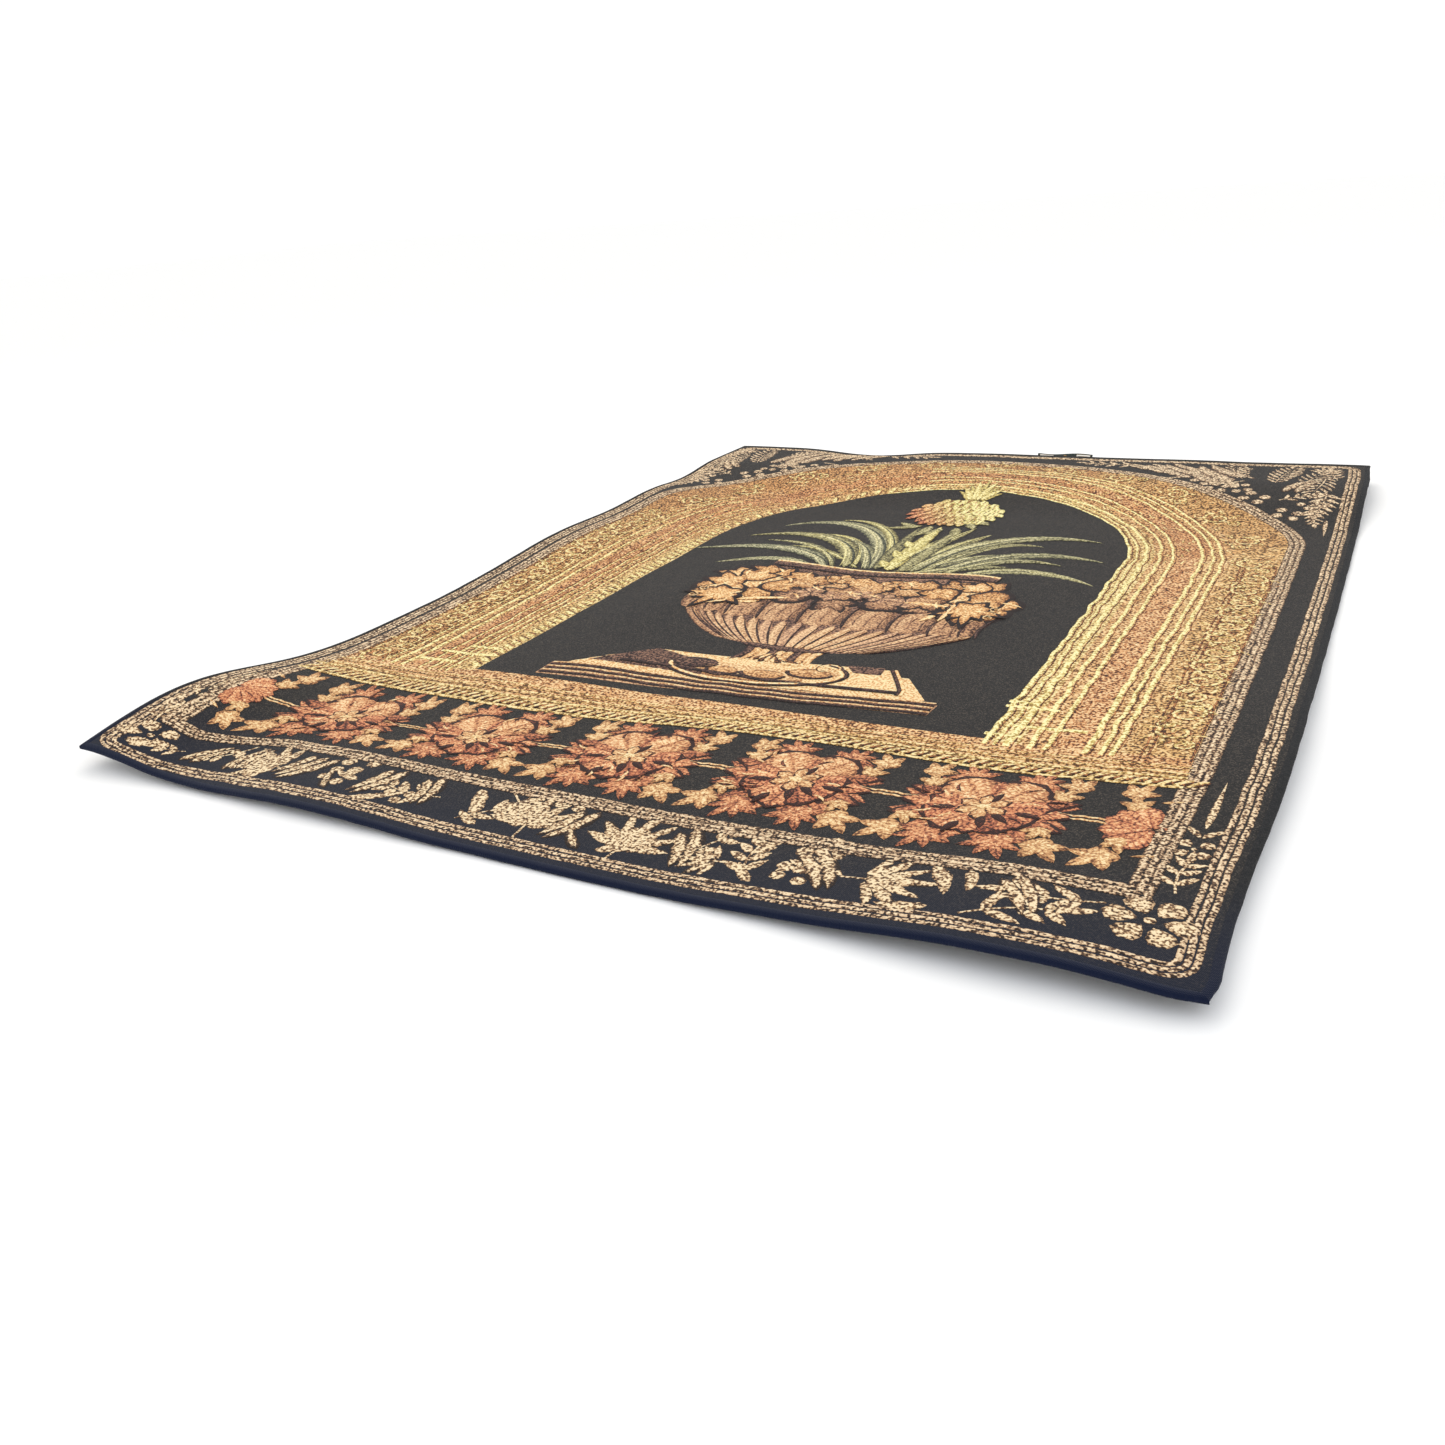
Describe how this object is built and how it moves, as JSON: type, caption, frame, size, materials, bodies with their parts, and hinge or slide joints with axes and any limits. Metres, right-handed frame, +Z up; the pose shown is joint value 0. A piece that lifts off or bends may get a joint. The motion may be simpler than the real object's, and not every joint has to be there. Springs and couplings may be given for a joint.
{
  "type": "tapestry wall hanging",
  "caption": "Lined and hemmed jacquard tapestry with an arched niche, a footed urn and a leaf border, laid out flat, with a rod sleeve across its back.",
  "frame": {"origin": "on the surface that the hanging lies on, under the centre of its outline with the label's peek counted in", "axes": "+X to the right along the bottom edge, +Y from the bottom edge to the top edge, +Z up through the woven face"},
  "size_m": [0.99, 1.341, 0.0359],
  "materials": {
    "woven_tapestry": "matt jacquard weave, charcoal ground with gold, rust and tan figures",
    "hem_cloth": "matt dark woven margin",
    "lining_cloth": "matt plain cotton lining",
    "sleeve_cloth": "matt plain cotton lining",
    "sewing_thread": "matt polyester sewing thread",
    "label_ribbon": "satin woven ribbon"
  },
  "bodies": {
    "hanging": {"woven_face": "woven_tapestry", "hem_bottom": "hem_cloth", "hem_top": "hem_cloth", "hem_left": "hem_cloth", "hem_right": "hem_cloth", "backing_lining": "lining_cloth", "hem_stitching_bottom": "sewing_thread", "hem_stitching_top": "sewing_thread", "hem_stitching_left": "sewing_thread", "hem_stitching_right": "sewing_thread", "sleeve_back_panel": "sleeve_cloth", "sleeve_lower_wall": "sleeve_cloth", "sleeve_upper_wall": "sleeve_cloth", "sleeve_seam_lower": "sewing_thread", "sleeve_seam_upper": "sewing_thread", "label_stitching": "sewing_thread"},
    "label": {"maker_label": "label_ribbon"}
  },
  "joints": [
    {"name": "label_flip", "type": "hinge", "parent": "hanging", "child": "label", "pos_m": [0.068, 0.6445, 0.0192], "axis": [-1, 0, 0], "range_deg": [0, 150]}
  ]
}
